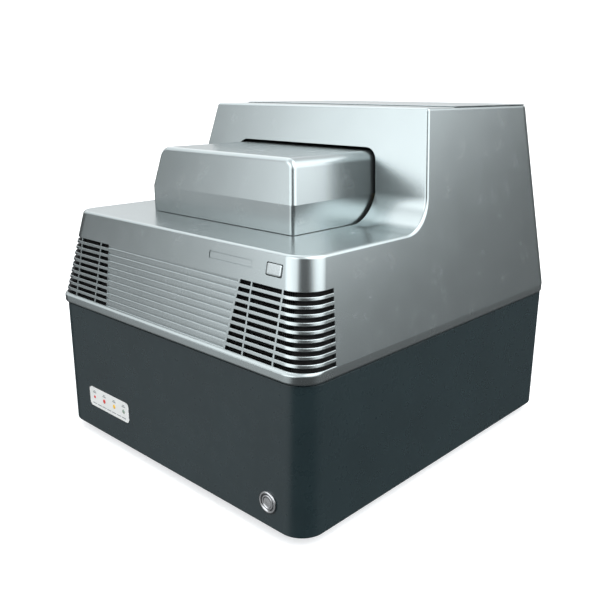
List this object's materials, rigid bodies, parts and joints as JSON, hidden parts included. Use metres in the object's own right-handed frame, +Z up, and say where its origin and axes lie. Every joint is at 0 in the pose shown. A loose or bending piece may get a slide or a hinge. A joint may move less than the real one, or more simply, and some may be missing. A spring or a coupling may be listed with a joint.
{
  "type": "thermal cycler",
  "caption": "Bench thermal cycler: dark box base, silver upper housing with wrap-round vents, and a low hood over the sample block that slides back into a rear tower.",
  "frame": {"origin": "on the table, under the centre of the object's outline", "axes": "+Z up, front with the buttons at -Y, +Y towards the tower and the rear panel, +X to the right seen from the front"},
  "size_m": [0.403, 0.457, 0.3862],
  "materials": {
    "silver_paint": "satin metallic silver paint",
    "slate_paint": "satin dark slate paint",
    "sheet_steel": "zinc-plated sheet",
    "black_mesh": "matt black mesh",
    "steel": "turned and polished steel",
    "aluminium": "machined, bead blasted",
    "dark_plastic": "black moulded plastic",
    "silver_plastic": "painted plastic",
    "label": "satin white film",
    "red_lens": "clear red",
    "yellow_lens": "clear yellow",
    "green_lens": "clear green, unlit",
    "rubber": "matt",
    "circuit_board": "solder mask",
    "brass": "turned",
    "heater_film": "polyimide film",
    "insulation": "machined insulating board",
    "ceramic": "alumina"
  },
  "bodies": {
    "housing": {"lower_housing": "slate_paint", "upper_housing": "silver_paint", "top_cover": "silver_paint", "rear_panel": "sheet_steel", "base_plate": "sheet_steel", "rubber_feet": "rubber", "rear_bumpers": "rubber", "vent_mesh_left": "black_mesh", "vent_mesh_right": "black_mesh", "nameplate_insert": "silver_paint", "lid_button_switch": "circuit_board", "power_button_bezel": "steel", "power_button_nut": "steel", "status_panel": "label", "fault_lens": "red_lens", "lid_lens": "red_lens", "run_lens": "yellow_lens", "ready_lens": "green_lens", "indicator_board": "circuit_board", "guide_rails": "steel", "screw_supports": "aluminium", "hood_motor": "dark_plastic", "tower_floor": "sheet_steel", "chassis_frame": "sheet_steel", "sample_block": "aluminium", "block_bezel": "silver_plastic", "block_gasket": "rubber", "peltier_modules": "ceramic", "heat_sink": "aluminium", "air_duct": "sheet_steel", "sink_fan_frames": "dark_plastic", "exhaust_fan_frame": "dark_plastic", "exhaust_guard": "steel", "power_supply": "sheet_steel", "main_board": "circuit_board", "mains_inlet": "dark_plastic", "data_port": "steel", "panel_screws": "steel"},
    "hood": {"hood_shell": "silver_paint", "hood_frame": "sheet_steel", "rail_bearings": "steel", "screw_nut": "brass", "press_actuators": "dark_plastic", "shuttle_rods": "steel", "shuttle_motor": "dark_plastic"},
    "hot_lid": {"hot_lid_plate": "aluminium", "hot_lid_heater": "heater_film", "hot_lid_carrier": "insulation", "press_rods": "steel", "press_springs": "steel"},
    "shuttle": {"optics_shuttle": "dark_plastic"},
    "shuttle_screw": {"shuttle_screw": "steel"},
    "lead_screw": {"lead_screw": "steel", "screw_coupling": "aluminium"},
    "sink_fan_left": {"sink_fan_rotor_left": "dark_plastic"},
    "sink_fan_right": {"sink_fan_rotor_right": "dark_plastic"},
    "exhaust_fan": {"exhaust_fan_rotor": "dark_plastic"},
    "lid_button": {"lid_button": "silver_plastic"},
    "power_button": {"power_button": "steel"},
    "fuse_drawer": {"fuse_drawer": "dark_plastic"}
  },
  "joints": [
    {"name": "hood_slide", "type": "slide", "parent": "housing", "child": "hood", "axis": [0, 1, 0], "range_m": [0, 0.13]},
    {"name": "lead_screw_spin", "type": "hinge", "parent": "housing", "child": "lead_screw", "pos_m": [0.154, 0, 0.286], "axis": [0, 1, 0], "range_deg": [0, 2340]},
    {"name": "hot_lid_press", "type": "slide", "parent": "hood", "child": "hot_lid", "axis": [0, 0, -1], "range_m": [0, 0.006], "deforming": ["press_springs"]},
    {"name": "shuttle_scan", "type": "slide", "parent": "hood", "child": "shuttle", "axis": [0, -1, 0], "range_m": [0, 0.063]},
    {"name": "shuttle_screw_spin", "type": "hinge", "parent": "hood", "child": "shuttle_screw", "pos_m": [-0.003, 0, 0.312], "axis": [0, 1, 0], "range_deg": [0, 2268]},
    {"name": "sink_fan_left_spin", "type": "hinge", "parent": "housing", "child": "sink_fan_left", "pos_m": [-0.034, -0.03, 0.197], "axis": [0, 1, 0], "continuous": true},
    {"name": "sink_fan_right_spin", "type": "hinge", "parent": "housing", "child": "sink_fan_right", "pos_m": [0.028, -0.03, 0.197], "axis": [0, 1, 0], "continuous": true},
    {"name": "exhaust_fan_spin", "type": "hinge", "parent": "housing", "child": "exhaust_fan", "pos_m": [-0.11, 0.205, 0.086], "axis": [0, 1, 0], "continuous": true},
    {"name": "lid_button_press", "type": "slide", "parent": "housing", "child": "lid_button", "axis": [0, 0.9791, -0.2032], "range_m": [0, 0.002], "stiffness_N_per_m": 700, "springref_m": -0.0015},
    {"name": "power_button_press", "type": "slide", "parent": "housing", "child": "power_button", "axis": [0, 1, 0], "range_m": [0, 0.0025], "stiffness_N_per_m": 900, "springref_m": -0.002},
    {"name": "fuse_drawer_slide", "type": "slide", "parent": "housing", "child": "fuse_drawer", "axis": [0, 1, 0], "range_m": [0, 0.018]}
  ],
  "couplings": [
    {"joint": "lead_screw_spin", "follows": "hood_slide", "rad_per_m": 314.16},
    {"joint": "shuttle_screw_spin", "follows": "shuttle_scan", "rad_per_m": 628.32}
  ]
}
